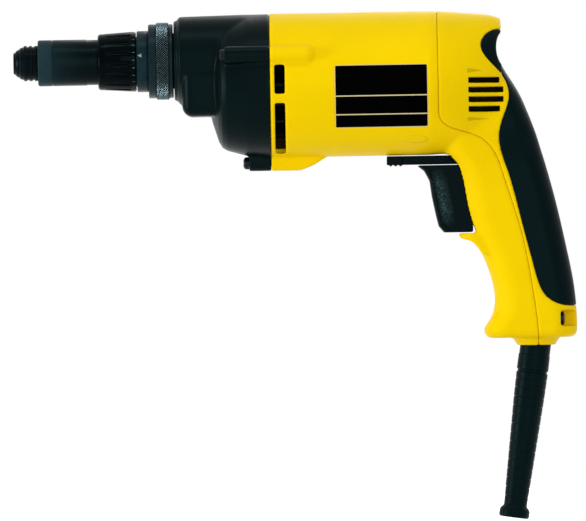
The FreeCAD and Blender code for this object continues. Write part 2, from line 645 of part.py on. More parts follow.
# Handle rows: level, front, back, half width beyond the narrowest
HANDLE_ROWS = [(8, 222, 249.6, 0), (2.9, 221, 249.7, 1.5), (-5, 220, 252.4, 3), (-19.3, 219, 260.9, 5.5),
               (-30, 219, 265.6, 6.6), (-38.4, 219, 268.8, 6.4), (-44, 219.4, 270.7, 4.8),
               (-48, 220.4, 271.9, 3), (-52, 222.4, 273.1, 1.7), (-56, 225.6, 274.3, 0.9),
               (-61, 227.8, 275.7, 0.5), (-72.3, 229.9, 278.7, 0.2), (-89.3, 233.6, 282.6, 0),
               (-105.2, 240.6, 285.9, 0),
               (-120, 245.8, 288.6, 0.4), (-131, 246.9, 289.8, 1), (-137, 245.6, 290.1, 1.4),
               (-142.5, 242.4, 290.2, 1.8), (-149.7, 241.2, 290, 2.2)]
# The web between thumb and finger, seen from the side
WEB = [(253.5, 13.2), (250.6, 9.3), (249.7, 2.9), (251.3, -3.4), (254, -6.6), (258, -13.6)]


def barrel_wire(x, drop, rise, narrow, inset):
    tall = size("barrel_radius") - (drop + rise) / 2 - inset
    wide = size("barrel_radius") - narrow - inset
    centre = V(x, 0, MOTOR_LEVEL + (rise - drop) / 2)
    if tall - wide < 0.01:
        curve = Part.Circle(centre, V(-1, 0, 0), tall)
        curve.XAxis = V(0, 0, 1)
    else:
        curve = Part.Ellipse(centre + V(0, 0, tall), centre + V(0, wide, 0), centre)
    return Part.Wire([curve.toShape()])


def handle_wire(level, front, back, extra, inset):
    corner = size("handle_corner") - inset
    half = size("handle_half_width") + extra - inset
    near, far = front + inset + corner, back - inset - corner
    edges = []
    for x, y, first in ((far, half - corner, 0), (near, half - corner, 90), (near, corner - half, 180),
                        (far, corner - half, 270)):
        turns = [math.radians(first + step) for step in (0, 45, 90)]
        spots = [V(x + corner * math.cos(turn), y + corner * math.sin(turn), level) for turn in turns]
        if edges:
            edges.append(Part.LineSegment(edges[-1].Vertexes[-1].Point, spots[0]).toShape())
        edges.append(Part.Arc(*spots).toShape())
    edges.append(Part.LineSegment(edges[-1].Vertexes[-1].Point, edges[0].Vertexes[0].Point).toShape())
    return Part.Wire(edges)


def side_region(curve_points, corners, reach=60.0):
    spots = [V(x, -reach, z) for x, z in curve_points]
    rim = [spots[-1]] + [V(x, -reach, z) for x, z in corners] + [spots[0]]
    lines = [Part.LineSegment(a, b).toShape() for a, b in zip(rim, rim[1:])]
    return Part.Face(Part.Wire([curve_through(spots)] + lines)).extrude(V(0, 2 * reach, 0))


def body_form(inset, handle_inset, barrel_front):
    straight = Part.makeCylinder(size("barrel_radius") - inset, BARREL_ROWS[0][0] - barrel_front,
                                 V(barrel_front, 0, MOTOR_LEVEL), V(1, 0, 0))
    rear = Part.makeLoft([barrel_wire(*row, inset) for row in BARREL_ROWS], True, False)
    web = [(x - inset, z) for x, z in WEB]
    rear = rear.cut(side_region(web, [(280, WEB[-1][1]), (280, WEB[0][1])]))
    rows = HANDLE_ROWS[:-1] + [(HANDLE_ROWS[-1][0] + handle_inset,) + HANDLE_ROWS[-1][1:]]
    handle = Part.makeLoft([handle_wire(*row, handle_inset) for row in rows], True, False)
    sole = rows[-1][0]
    rim = [edge for edge in handle.Edges if edge.BoundBox.ZMax < sole + 0.01]
    handle = handle.makeFillet(4 if handle_inset == 0 else 1.5, rim)
    return straight.fuse([rear, handle]).removeSplitter()


outer_form = made("outer_form", body_form(0, 0, size("case_rear")))
skin_form = made("skin_form", body_form(size("grip_thickness"), size("grip_thickness"), size("case_rear")))
room_form = made("room_form", body_form(size("barrel_wall"), size("handle_wall"), BARREL_ROWS[0][0] - 0.001))

SEAM = [(218.4, -29), (220.1, -34.6), (228.4, -39.2), (240.9, -43.7), (247.7, -51), (252.2, -62.9),
        (261.3, -93.3), (267.4, -127.7), (269.2, -143), (269.4, -158)]
front_side = made("front_side", side_region(SEAM, [(120, -158), (120, 40), (218.4, 40)]))
GRIP_EDGE = [(254, 12.9), (246, 12.4), (241.3, 5.6), (243.8, -0.8), (251.9, -9.8), (255.9, -21.5),
             (252.9, -32.1), (250.3, -42), (254.5, -60.7), (261.9, -89.3), (268.3, -114.7), (273.6, -127.5),
             (283.7, -132.8), (294, -131.4)]
grip_side = made("grip_side", side_region(GRIP_EDGE, [(310, -131.4), (310, 12.9)]))

# Shell of the body before it is parted
side_bosses = []
for side, sign in SIDES:
    side_bosses.append(rod("boss_" + side, "screw_radius + 2.9", "case_rear", "case_rear + 19.25",
                           "%d * side_screw_y" % sign, "side_screw_z"))
    boss_end = doc.addObject("Part::Sphere", "boss_end_" + side)
    bind(boss_end, Radius="screw_radius + 2.9", Placement__Base__x="case_rear + 19.25",
         Placement__Base__y="%d * side_screw_y" % sign, Placement__Base__z="side_screw_z")
    side_bosses.append(boss_end)
low_lug = slab("low_lug", [
    ("case_rear", "low_screw_z + 10"), ("case_rear", "low_screw_z - screw_radius - 2.4"),
    ("case_rear + 15.5", "low_screw_z - screw_radius - 2.4"), ("case_rear + 22.6", "low_screw_z - 1.5"),
    ("case_rear + 30", "low_screw_z + 3"), ("case_rear + 30", "low_screw_z + 10")], "screw_radius + 2.4")
cord_collar = doc.addObject("Part::Cone", "cord_collar")
bind(cord_collar, Radius1="9.9", Radius2="12.9", Height="4.7", Placement__Base__x="protector_top_x + 0.5",
     Placement__Base__z="protector_top_z + 0.6")
LIP_CURVE = [(228.5, -95), (229.6, -96.6), (233.5, -97.6), (237.4, -100.4), (240.8, -105.6)]
lip_side = made("lip_side", side_region(LIP_CURVE, [(246, -105.6), (246, -94), (229, -94)]))
lip_block = box("lip_block", ("228", "246"), ("-14", "14"), ("-106", "-93.9"))
lip_plan = rounded("lip_plan", lip_block, 9.0,
                   lambda edge: edge.BoundBox.XMax < 228.1 and edge.BoundBox.ZLength > 5)
trigger_lip = shared("trigger_lip", [lip_side, lip_plan])
outer_solid = fused("outer_solid", [outer_form, low_lug, cord_collar, trigger_lip] + side_bosses)

bore = turned("bore", [
    ("case_rear - 1", "0"), ("case_rear - 1", "field_radius + 1.3"), ("151", "field_radius + 1.3"),
    ("151", "field_radius"), ("188.1", "field_radius"), ("188.1", "field_radius - 1.5"),
    ("210", "field_radius - 1.5"), ("210", "0")], MOTOR_Z)
LEAN = FreeCAD.Rotation(V(0, 1, 0), 90 + size("cord_lean"))


def leaning(body):
    body.Placement = FreeCAD.Placement(V(), LEAN)
    bind(body, Placement__Base__x="protector_top_x", Placement__Base__z="protector_top_z")
    return body


protector_room = leaning(turned("protector_room", [
    ("-14", "0"), ("-14", "10.8"), ("-5.7", "10.8"), ("-5.7", "8.4"), ("4", "8.4"), ("4", "0")]))
trigger_room = box("trigger_room", ("200", "246"),
                   ("-trigger_half_width - free_gap - 0.1", "trigger_half_width + free_gap + 0.1"),
                   ("-93.9", "barrel_underside"))
pockets = [box("pocket_" + side, ("281.3", "295"), reach(sign, 5, 25), ("-144", "-135.5"))
           for side, sign in SIDES]
pocket_walls = []
for side, sign in SIDES:
    block = box("pocket_block_" + side, ("280.3", "295"), reach(sign, 3.6, 25), ("-145", "-134.6"))
    pocket_walls.append(shared("pocket_wall_" + side, [outer_form, block]))
hollow = without("hollow", outer_solid, [bore, room_form, protector_room, trigger_room])

# Cover screws: Y, Z, front end of the post, rear end of the post, seat of the head, end of the open way to it
COVER_SCREWS = {"upper": ("0", "5", "213.5", "246.5", "240.5", "256"),
                "middle": ("0", "-104", "243", "282", "276", "294"),
                "low_left": ("-11", "-139.8", "246", "281.3", "281.3", "282"),
                "low_right": ("11", "-139.8", "246", "281.3", "281.3", "282")}
posts = []
cover_holes = []
cover_sinks = []
for name, (across, up, x_from, x_to, x_seat, x_open) in COVER_SCREWS.items():
    sunk = x_seat != x_to
    posts.append(rod("cover_post_" + name, "4.8" if sunk else "3.6", x_from, x_to, across, up))
    cover_holes.append(rod("cover_hole_" + name, "1.55", x_from, x_open, across, up))
    if sunk:
        cover_sinks.append(rod("cover_sink_" + name, "3.4", x_seat, x_open, across, up))
parted = without("parted", fused("shell_with_posts", [hollow] + posts + pocket_walls), pockets)

# Motor housing with the front half of the handle
bulkhead = rod("bulkhead", "field_radius - 0.5", "210", "214", "0", MOTOR_Z)
bearing_hub = rod("bearing_hub", "12.5", "210", "218.1", "0", MOTOR_Z)
hub_cuts = [rod("rear_pocket", "9.5", "212", "219", "0", MOTOR_Z),
            rod("shaft_hole", "shaft_radius + 0.5", "209", "213", "0", MOTOR_Z)]
for number, (across, up) in enumerate(((1, 1), (1, -1), (-1, 1), (-1, -1))):
    hub_cuts.append(rod("air_window_%d" % number, "7.2", "209", "215", "%.1f" % (14.6 * across),
                        "%s + %.1f" % (MOTOR_Z, 14.6 * up)))
for side, sign in SIDES:
    hub_cuts.append(rod("lead_hole_" + side, "1.6", "209", "215", "%.1f" % (24.5 * sign), MOTOR_Z))
fan_ribs = [box("fan_rib_" + side, ("case_rear + 0.8", "case_rear + 9.3"), reach(sign, 5.8, 7.8),
                ("-51", "-41.2")) for side, sign in SIDES]
bridge = [box("pivot_bridge", ("231", "241"), ("-15", "15"), ("barrel_underside", "barrel_underside + 3.5")),
          post("pivot_pin", "2", "lever_low", "barrel_underside + 2.1", "lever_pivot_x")]
saddle = [box("cord_saddle", ("248", "266.5"), ("-5", "5"), ("-134.5", "-127.5"))]
saddle += [rod("clamp_pillar_" + side, "3", "248", "275", "%.1f" % (8.3 * sign), "-131")
           for side, sign in SIDES]
housing_front = shared("housing_front", [parted, front_side])
housing_solid = fused("housing_solid", [housing_front, bulkhead, bearing_hub] + fan_ribs + bridge + saddle)


def runs_across(edge):
    return edge.BoundBox.YLength > 10


vents = []
for side, sign in SIDES:
    for name, low, high in (("high", "-18.8", "-3.4"), ("low", "-50.1", "-23.6")):
        block = box("vent_block_%s_%s" % (name, side), ("case_rear + 2.4", "case_rear + 7.9"),
                    reach(sign, 8, 45), (low, high))
        vents.append(rounded("vent_%s_%s" % (name, side), block, 2.2, runs_across))
label_plates = []
label_pockets = []
for side, sign in SIDES:
    block = box("label_block_" + side, ("163.9", "213"), reach(sign, 10, 45), ("-37.4", "-4.2"))
    patch = rounded("label_patch_" + side, block, 2.0, runs_across)
    plate = tube("label_ring_" + side, "160", "217", "barrel_radius - label_depth", "barrel_radius - 0.05",
                 MOTOR_Z)
    hole = tube("label_sink_" + side, "160", "217", "barrel_radius - label_depth", "barrel_radius + 2",
                MOTOR_Z)
    label_plates.append(shared("label_" + side, [plate, patch]))
    label_pockets.append(shared("label_pocket_" + side, [hole, patch]))
case_holes = [rod("housing_hole_" + side, "screw_radius + running_gap", "case_rear - 1", "case_rear + 17",
                  "%d * side_screw_y" % sign, "side_screw_z") for side, sign in SIDES]
case_holes.append(rod("housing_hole_low", "screw_radius + running_gap", "case_rear - 1", "case_rear + 15",
                      "0", "low_screw_z"))
clamp_holes = [rod("clamp_hole_" + side, "1.45", "255", "280", "%.1f" % (8.3 * sign), "-131")
               for side, sign in SIDES]
keep("motor_housing", without("motor_housing", housing_solid,
                              hub_cuts + vents + label_pockets + case_holes + clamp_holes + cover_holes))
side_labels = doc.addObject("Part::Compound", "side_labels")
side_labels.Links = label_plates
keep("side_labels", side_labels)

# Handle cover and rubber rear grip
grip_skin = shared("grip_skin", [without("grip_shell", outer_form, [skin_form]), grip_side])
keep("rear_grip", without("rear_grip", grip_skin, cover_sinks))
louvres = []
for side, sign in SIDES:
    for number in range(4):
        middle = -13.2 - 5.07 * number
        rear = "251" if number in (0, 3) else "253"
        block = box("louvre_block_%d_%s" % (number, side), ("234.4", rear), reach(sign, 8, 45),
                    ("%.2f" % (middle - 1.5), "%.2f" % (middle + 1.5)))
        louvres.append(rounded("louvre_%d_%s" % (number, side), block, 1.4, runs_across))
air_rib_block = box("air_rib_block", ("231", "262"), ("-1.2", "1.2"), ("-37", "-4"))
air_rib = shared("air_rib", [air_rib_block, outer_form])
cover_solid = fused("cover_solid", [without("cover_half", parted, [front_side]), air_rib])
keep("handle_cover", without("handle_cover", cover_solid, [grip_skin] + louvres + cover_holes + cover_sinks))


def cover_screw(name, y, z, x_seat, head_radius, length):
    head = turned(name + "_head", [
        (x_seat, "0"), (x_seat, head_radius), ("(%s) + 1.6" % x_seat, head_radius),
        ("(%s) + 2.2" % x_seat, "2"),
        ("(%s) + 2.2" % x_seat, "1.2"), ("(%s) + 0.8" % x_seat, "1.2"), ("(%s) + 0.8" % x_seat, "0")])
    bind(head, Placement__Base__y=y, Placement__Base__z=z)
    return fused(name, [head, rod(name + "_shank", "1.5", "(%s) - %s" % (x_seat, length), x_seat, y, z)])


handle_cover_screws = doc.addObject("Part::Compound", "handle_cover_screws")
handle_cover_screws.Links = [
    cover_screw("cover_screw_" + name, across, up, x_seat, "3.6" if x_seat == x_to else "2.8", "26.5")
    for name, (across, up, x_from, x_to, x_seat, x_open) in COVER_SCREWS.items()]
keep("handle_cover_screws", handle_cover_screws)

# Trigger, switch and reversing lever
trigger_blank = slab("trigger_blank", [
    ("206.6", "trigger_top"), ("210.6", "trigger_top - 3"), ("213.4", "trigger_top - 8.4"), ("214.4", "-74"),
    ("216.4", "-84"), ("217.8", "-90"), ("220.6", "-93.4"), ("236", "-93.4"), ("236", "trigger_top")],
    "trigger_half_width")
trigger_round = rounded("trigger_round", trigger_blank, 3.0,
                        lambda edge: abs(edge.BoundBox.YMax) > 5 and edge.BoundBox.YLength < 0.1
                        and edge.BoundBox.XMax < 221)
keep("trigger", fused("trigger", [trigger_round, rod("plunger", "2.5", "235", "249.5", "0", "-76")]))
keep("trigger_spring", made("trigger_spring", coil(5, 4.0, 0.45, V(236.6, 0, -76), V(1, 0, 0), 9.6)))
switch_block = box("switch_block", ("247", "266"), ("-11", "11"), ("-92", "-60"))
switch_case = rounded("switch_case", switch_block, 1.0, lambda edge: True)
switch_bore = rod("switch_bore", "2.6", "246", "260", "0", "-76")
keep("trigger_switch", without("trigger_switch", switch_case, [switch_bore]))
lever_bar = [box("lever_bar", ("194", "lever_pivot_x"), ("-4.5", "4.5"), ("lever_low", "lever_top")),
             box("lever_tip", ("190.9", "199"), ("-6.5", "6.5"), ("lever_low", "lever_top")),
             post("lever_hub", "5.2", "lever_low", "lever_top", "lever_pivot_x")]
keep("reversing_lever", without("reversing_lever", fused("lever_solid", lever_bar),
                                [post("lever_eye", "2 + running_gap", "lever_low - 2.8", "lever_top + 2.5",
                                      "lever_pivot_x")]))

# Leads, cord clamp and cord protector
leads = []
for side, sign in SIDES:
    stops = [V(210.05, 24.5 * sign, MOTOR_LEVEL), V(226, 24.5 * sign, MOTOR_LEVEL), V(243, 9 * sign, -42),
             V(250, 7 * sign, -59.5)]
    leads.append(made("lead_" + side, bent_tube(stops, 10.0, 1.1)))
lead_wires = doc.addObject("Part::Compound", "lead_wires")
lead_wires.Links = leads
keep("lead_wires", lead_wires)

clamp_block = box("clamp_block", ("275", "278.5"), ("-11.8", "11.8"), ("-134.5", "-127.5"))
clamp_bar_holes = [rod("clamp_bar_hole_" + side, "1.45", "274", "280", "%.1f" % (8.3 * sign), "-131")
                   for side, sign in SIDES]
clamp_bar = rounded("clamp_bar", clamp_block, 0.8, lambda edge: True)
keep("cord_clamp", without("cord_clamp", clamp_bar, clamp_bar_holes))
clamp_screws = []
for side, sign in SIDES:
    across = "%.1f" % (8.3 * sign)
    head = rod("clamp_head_" + side, "2.7", "278.5", "280.3", across, "-131")
    shank = rod("clamp_shank_" + side, "1.4", "262", "278.6", across, "-131")
    clamp_screws.append(fused("clamp_screw_" + side, [head, shank]))
cord_clamp_screws = doc.addObject("Part::Compound", "cord_clamp_screws")
cord_clamp_screws.Links = clamp_screws
keep("cord_clamp_screws", cord_clamp_screws)

keep("cord_protector", leaning(turned("cord_protector", [
    ("-9", "cord_bore_radius + 1"), ("-9", "10.5"), ("-6", "10.5"), ("-6", "8.1"), ("4.5", "8.1"),
    ("4.8", "8.4"), ("12.6", "8.4"), ("13", "7.8"), ("13.8", "7.8"), ("14.2", "8.4"), ("28", "8.1"),
    ("protector_length - 6.6", "6.1"),
    ("protector_length - 5", "7.4"), ("protector_length - 3.6", "8"), ("protector_length - 0.8", "8"),
    ("protector_length", "7.2"), ("protector_length", "cord_bore_radius"), ("1", "cord_bore_radius"),
    ("1", "cord_bore_radius + 1")])))

doc.recompute()
for item in doc.Objects:
    if "Invalid" in item.State or "Error" in item.State:
        raise RuntimeError("%s did not rebuild" % item.Label)
os.makedirs("parts", exist_ok=True)
for label, item in nodes.items():
    if item.Shape.isNull() or not item.Shape.isValid():
        raise RuntimeError("%s is not a sound solid" % label)
    item.Shape.exportStep("parts/%s.step" % label)
    print("%-22s %10.1f mm3  %d" % (label, item.Shape.Volume, len(item.Shape.Solids)))
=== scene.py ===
import math

import bmesh
import bpy
from mathutils import Matrix, Vector


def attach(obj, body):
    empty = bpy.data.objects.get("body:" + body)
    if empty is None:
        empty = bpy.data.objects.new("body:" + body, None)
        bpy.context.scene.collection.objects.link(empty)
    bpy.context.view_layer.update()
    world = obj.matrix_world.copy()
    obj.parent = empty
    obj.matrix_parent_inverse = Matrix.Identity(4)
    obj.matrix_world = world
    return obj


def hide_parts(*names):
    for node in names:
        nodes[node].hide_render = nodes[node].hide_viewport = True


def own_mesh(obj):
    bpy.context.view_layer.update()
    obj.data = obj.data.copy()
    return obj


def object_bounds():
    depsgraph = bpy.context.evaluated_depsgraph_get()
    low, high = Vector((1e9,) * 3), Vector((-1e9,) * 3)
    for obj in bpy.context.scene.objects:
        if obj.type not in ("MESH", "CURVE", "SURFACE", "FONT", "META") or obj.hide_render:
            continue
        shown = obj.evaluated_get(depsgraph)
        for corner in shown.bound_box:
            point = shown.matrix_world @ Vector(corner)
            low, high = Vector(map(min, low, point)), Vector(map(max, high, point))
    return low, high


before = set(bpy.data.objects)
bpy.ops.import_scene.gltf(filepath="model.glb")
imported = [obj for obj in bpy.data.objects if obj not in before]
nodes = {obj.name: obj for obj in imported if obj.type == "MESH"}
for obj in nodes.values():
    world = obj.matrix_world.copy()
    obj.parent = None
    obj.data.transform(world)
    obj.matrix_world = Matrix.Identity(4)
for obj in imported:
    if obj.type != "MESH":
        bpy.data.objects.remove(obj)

# Sizes are written in millimetres, as on the part's drawing; the scene is in metres
MM = 0.001
SAME_POINT = 1e-3
cad_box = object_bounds()


# Workbench: selecting, editing and finishing a mesh
def clear_hands():
    if bpy.context.object is not None and bpy.context.object.mode != "OBJECT":
        bpy.ops.object.mode_set(mode="OBJECT")
    bpy.ops.object.select_all(action="DESELECT")


def hold(piece):
    clear_hands()
    piece.select_set(True)
    bpy.context.view_layer.objects.active = piece


def work_on(piece):
    hold(piece)
    bpy.ops.object.mode_set(mode="EDIT")
    bpy.ops.mesh.select_mode(type="VERT")
    bpy.ops.mesh.select_all(action="SELECT")


def choose(test):
    """Selects the vertices whose place, in millimetres, passes the test."""
    bpy.ops.mesh.select_all(action="DESELECT")
    data = bpy.context.object.data
    mesh = bmesh.from_edit_mesh(data)
    for vert in mesh.verts:
        vert.select = test(vert.co / MM)
    mesh.select_flush_mode()
    bmesh.update_edit_mesh(data)


def put_down(piece, angle=35.0):
    """Leaves edit mode, moves the place into the mesh and shades it smooth up to an angle in degrees."""
    hold(piece)
    bpy.ops.object.transform_apply(location=True, rotation=True, scale=True)
    bpy.ops.object.shade_smooth_by_angle(angle=math.radians(angle))
    return piece


def add(kind, name, **settings):
    clear_hands()
    getattr(bpy.ops.mesh, "primitive_%s_add" % kind)(**settings)
    piece = bpy.context.object
    piece.name = name
    piece.data.name = name
    return piece


def finish_with(piece, kind, **settings):
    hold(piece)
    modifier = piece.modifiers.new(kind.lower(), kind)
    for setting, value in settings.items():
        setattr(modifier, setting, value)
    bpy.ops.object.modifier_apply(modifier=modifier.name)


def combine(piece, other, operation):
    put_down(other)
    finish_with(piece, "BOOLEAN", object=other, operation=operation, solver="MANIFOLD")
    bpy.data.objects.remove(other)


def joined(name, pieces):
    clear_hands()
    for piece in pieces:
        piece.select_set(True)
    bpy.context.view_layer.objects.active = pieces[0]
    bpy.ops.object.join()
    pieces[0].name = name
    pieces[0].data.name = name
    return pieces[0]


def twin(piece, name, shift):
    copy = bpy.data.objects.new(name, piece.data.copy())
    bpy.context.collection.objects.link(copy)
    copy.location = Vector(shift) * MM
    return put_down(copy)


def edge_chain(name, points):
    """A single vertex drawn out, point by point, to a closed outline; the points are X, Y and Z."""
    piece = add("plane", name, size=MM)
    work_on(piece)
    bpy.ops.mesh.merge(type="CENTER")
    bpy.ops.transform.translate(value=Vector(points[0]) * MM)
    for here, there in zip(points, points[1:]):
        step = (Vector(there) - Vector(here)) * MM
        bpy.ops.mesh.extrude_region_move(TRANSFORM_OT_translate={"value": step})
    first, last = Vector(points[0]), Vector(points[-1])
    choose(lambda spot: min((spot - first).length, (spot - last).length) < SAME_POINT)
    bpy.ops.mesh.edge_face_add()
    bpy.ops.mesh.select_all(action="SELECT")
    return piece


def turned(name, profile, steps=96):
    """A ring or sleeve turned about the X axis from a closed profile of place along X and radius."""
    piece = edge_chain(name, [(x, 0, radius) for x, radius in profile])
    bpy.ops.mesh.spin(steps=steps, angle=2 * math.pi, center=(0, 0, 0), axis=(1, 0, 0))
    bpy.ops.mesh.select_all(action="SELECT")
    bpy.ops.mesh.remove_doubles(threshold=1e-6)
    bpy.ops.mesh.normals_make_consistent(inside=False)
    return put_down(piece)


def block(name, low, high, edge, segments=3):
    """A bar between two corners with bevelled edges."""
    low, high = Vector(low), Vector(high)
    piece = add("cube", name, size=1, location=(low + high) / 2 * MM, scale=(high - low) * MM)
    put_down(piece)
    work_on(piece)
    bpy.ops.mesh.bevel(offset=edge * MM, segments=segments, affect="EDGES")
    return put_down(piece)


def taken_from(node, name):
    """The node's own solid as a new mesh, with its loose triangles merged."""
    piece = bpy.data.objects.new(name, nodes[node].data.copy())
    bpy.context.collection.objects.link(piece)
    piece.data.materials.clear()
    work_on(piece)
    bpy.ops.mesh.remove_doubles(threshold=2e-6)
    return put_down(piece)


def moulded(piece, grain, rounds, kept=1.0):
    """Soft moulded edges: the solid gets a new, even skin, which is smoothed and may be thinned out."""
    finish_with(piece, "REMESH", mode="VOXEL", voxel_size=grain * MM, use_smooth_shade=True)
    finish_with(piece, "SMOOTH", factor=0.5, iterations=rounds)
    if kept < 1:
        finish_with(piece, "DECIMATE", ratio=kept)
    hold(piece)
    bpy.ops.object.shade_smooth()
    return piece


def dress(piece, body, finish, slot, *stands_for):
    piece.data.materials.clear()
    piece.data.materials.append(finish)
    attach(piece, body)
    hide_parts(*stands_for)


# Finishes: a socket that sums can be written with, and a finish that nodes are added to
class Flow:
    def __init__(self, finish, socket):
        self.finish = finish
        self.socket = socket

    def sum(self, operation, *values):
        return self.finish.node("Math", {"operation": operation}, *values)

    def __add__(self, other):
        return self.sum("ADD", self, other)

    def __sub__(self, other):
        return self.sum("SUBTRACT", self, other)

    def __rsub__(self, other):
        return self.sum("SUBTRACT", other, self)

    def __mul__(self, other):
        return self.sum("MULTIPLY", self, other)

    def __lt__(self, other):
        return self.sum("LESS_THAN", self, other)

    def __gt__(self, other):
        return self.sum("GREATER_THAN", self, other)

    def __abs__(self):
        return self.sum("ABSOLUTE", self)

    def __pow__(self, other):
        return self.sum("POWER", self, other)

    __radd__ = __add__
    __rmul__ = __mul__


class Finish:
    def __init__(self, name, **fixed):
        self.material = bpy.data.materials.new(name)
        self.material.use_nodes = True
        self.tree = self.material.node_tree
        self.shader = self.tree.nodes["Principled BSDF"]
        for socket, value in fixed.items():
            self.shader.inputs[socket.replace("_", " ")].default_value = value
        self.place = self.node("TexCoord", output="Object")

    def node(self, kind, settings=None, *values, output=0, **named):
        made = self.tree.nodes.new("ShaderNode" + kind)
        for setting, value in (settings or {}).items():
            setattr(made, setting, value)
        pairs = list(enumerate(values))
        pairs += [(name.replace("_", " "), value) for name, value in named.items()]
        for socket, value in pairs:
            if isinstance(value, Flow):
                self.tree.links.new(value.socket, made.inputs[socket])
            else:
                made.inputs[socket].default_value = value
        return Flow(self, made.outputs[output])

    def feed(self, socket, flow):
        self.tree.links.new(flow.socket, self.shader.inputs[socket])

    def noise(self, cell, detail, stretch=(1, 1, 1)):
        """Noise with a cell size in millimetres, drawn out along an axis by a stretch under 1."""
        spots = self.node("Mapping", {}, Vector=self.place, Scale=stretch)
        return self.node("TexNoise", {}, Vector=spots, Scale=1 / (cell * MM), Detail=detail)

    def ramp(self, flow, low, high, bottom=0.0, top=1.0):
        return self.node("MapRange", {}, flow, low, high, bottom, top)

    def mix(self, amount, first, second):
        blend = self.tree.nodes.new("ShaderNodeMix")
        blend.data_type = "RGBA"
        self.tree.links.new(amount.socket, blend.inputs[0])
        for socket, value in ((blend.inputs[6], first), (blend.inputs[7], second)):
            if isinstance(value, Flow):
                self.tree.links.new(value.socket, socket)
            else:
                socket.default_value = (*value, 1)
        return Flow(self, blend.outputs[2])

    def bump(self, height, depth):
        self.feed("Normal", self.node("Bump", {}, Height=height, Distance=depth * MM))

    def axes(self):
        """Places along X, Y and Z in millimetres."""
        parted = self.tree.nodes.new("ShaderNodeSeparateXYZ")
        self.tree.links.new(self.place.socket, parted.inputs[0])
        return [Flow(self, parted.outputs[axis]) * (1 / MM) for axis in range(3)]


def shade(colour, factor):
    return tuple(min(channel * factor, 1.0) for channel in colour)


OVAL_MIDDLE = (205.5, -43.8)
OVAL_HALF = (6.9, 1.9)
RELIEF = 0.3
MOTOR_AXIS = -14
MOTOR_BORE = 34.6
MOTOR_REAR = 215
LOUVRE_FRONT = 234.4
LOUVRE_REAR = 251
LOUVRE_PITCH = 5.07
ALL_LOUVRES = (-30.2, -11.6)
LONG_LOUVRES = (-25.9, -15.7)


def raised_oval(finish):
    """A low oval pad in the moulding above the trigger, on both sides, as a share of the relief."""
    along, _, up = finish.axes()
    spread = (abs((along - OVAL_MIDDLE[0]) * (1 / OVAL_HALF[0])) ** 2
              + abs((up - OVAL_MIDDLE[1]) * (1 / OVAL_HALF[1])) ** 2)
    return finish.ramp(spread, 1.25, 0.85)


def wedge(along, up, tip, middle, slope):
    """A flat wedge that narrows towards its tip at the rear."""
    return (abs(up - middle) < (tip - along) * slope) * (along < tip)


def shadowed_yellow(finish):
    """How far the yellow is darkened by painted shade: in the motor bore, in the louvres, and in two wedges
    beside them.
    """
    along, across, up = finish.axes()
    # Painted shade: the motor bore, the louvre slots and two wedge-shaped recesses beside them are darkened
    # where shade falls.
    radius = (across ** 2 + abs(up - MOTOR_AXIS) ** 2) ** 0.5
    inside = (radius < MOTOR_BORE) * (along < MOTOR_REAR)
    high_wedge = wedge(along, up, tip=242, middle=-8.15, slope=0.167)
    low_wedge = wedge(along, up, tip=246, middle=-33.65, slope=0.087)
    wedges = (high_wedge + low_wedge) * (along > LOUVRE_FRONT - 0.5)
    slot = finish.node("Math", {"operation": "FRACT"}, (up + 13.2) * (1 / LOUVRE_PITCH) + 10.5)
    longer = (up > LONG_LOUVRES[0]) * (up < LONG_LOUVRES[1])
    rear_end = LOUVRE_REAR + 2 * longer
    rows = (abs(slot - 0.5) < 0.3) * (up > ALL_LOUVRES[0]) * (up < ALL_LOUVRES[1])
    louvres = rows * (along > LOUVRE_FRONT) * (along < rear_end)
    return finish.node("Clamp", {}, inside + louvres + wedges * 0.3)


def moulded_plastic(name, colour, rough, grain, depth, tint, relief=None, shadow=None, **fixed):
    """Moulded plastic: cloudy colour, spark-eroded grain, and rubbed spots that are a little glossier."""
    finish = Finish(name, **fixed)
    cloud = finish.ramp(finish.noise(22, 4.0), 0.35, 0.65)
    grains = finish.noise(grain, 1.0)
    rubbed = finish.ramp(finish.noise(9, 5.0), 0.5, 0.72)
    fine = finish.mix(finish.ramp(grains, 0.3, 0.7) * 0.5, colour, shade(colour, tint))
    tone = finish.mix(cloud * 0.6, fine, shade(colour, 1.05))
    if shadow is not None:
        # Painted shade: where the shadow mask is set, the colour is darkened almost to black.
        tone = finish.mix(shadow(finish), tone, shade(colour, 0.01))
    finish.feed("Base Color", tone)
    finish.feed("Roughness", rough + 0.06 * cloud - 0.07 * rubbed)
    if relief is None:
        finish.bump(grains, depth)
    else:
        finish.bump(grains * (depth / RELIEF) + relief(finish), RELIEF)
    return finish


def metal(name, colour, rough, stretch=(0.05, 1, 1), cell=0.5, depth=0.01, metallic=1.0):
    """Bare metal with turning or drawing lines, cloudy tone and a few dull spots."""
    finish = Finish(name, Metallic=metallic)
    lines = finish.noise(cell, 3.0, stretch)
    dull = finish.ramp(finish.noise(6, 4.0), 0.52, 0.7)
    bright = finish.mix(finish.ramp(lines, 0.3, 0.7), shade(colour, 0.82), colour)
    finish.feed("Base Color", finish.mix(dull * 0.4, bright, shade(colour, 0.7)))
    finish.feed("Roughness", rough + 0.1 * lines + 0.12 * dull)
    finish.bump(lines, depth)
    return finish


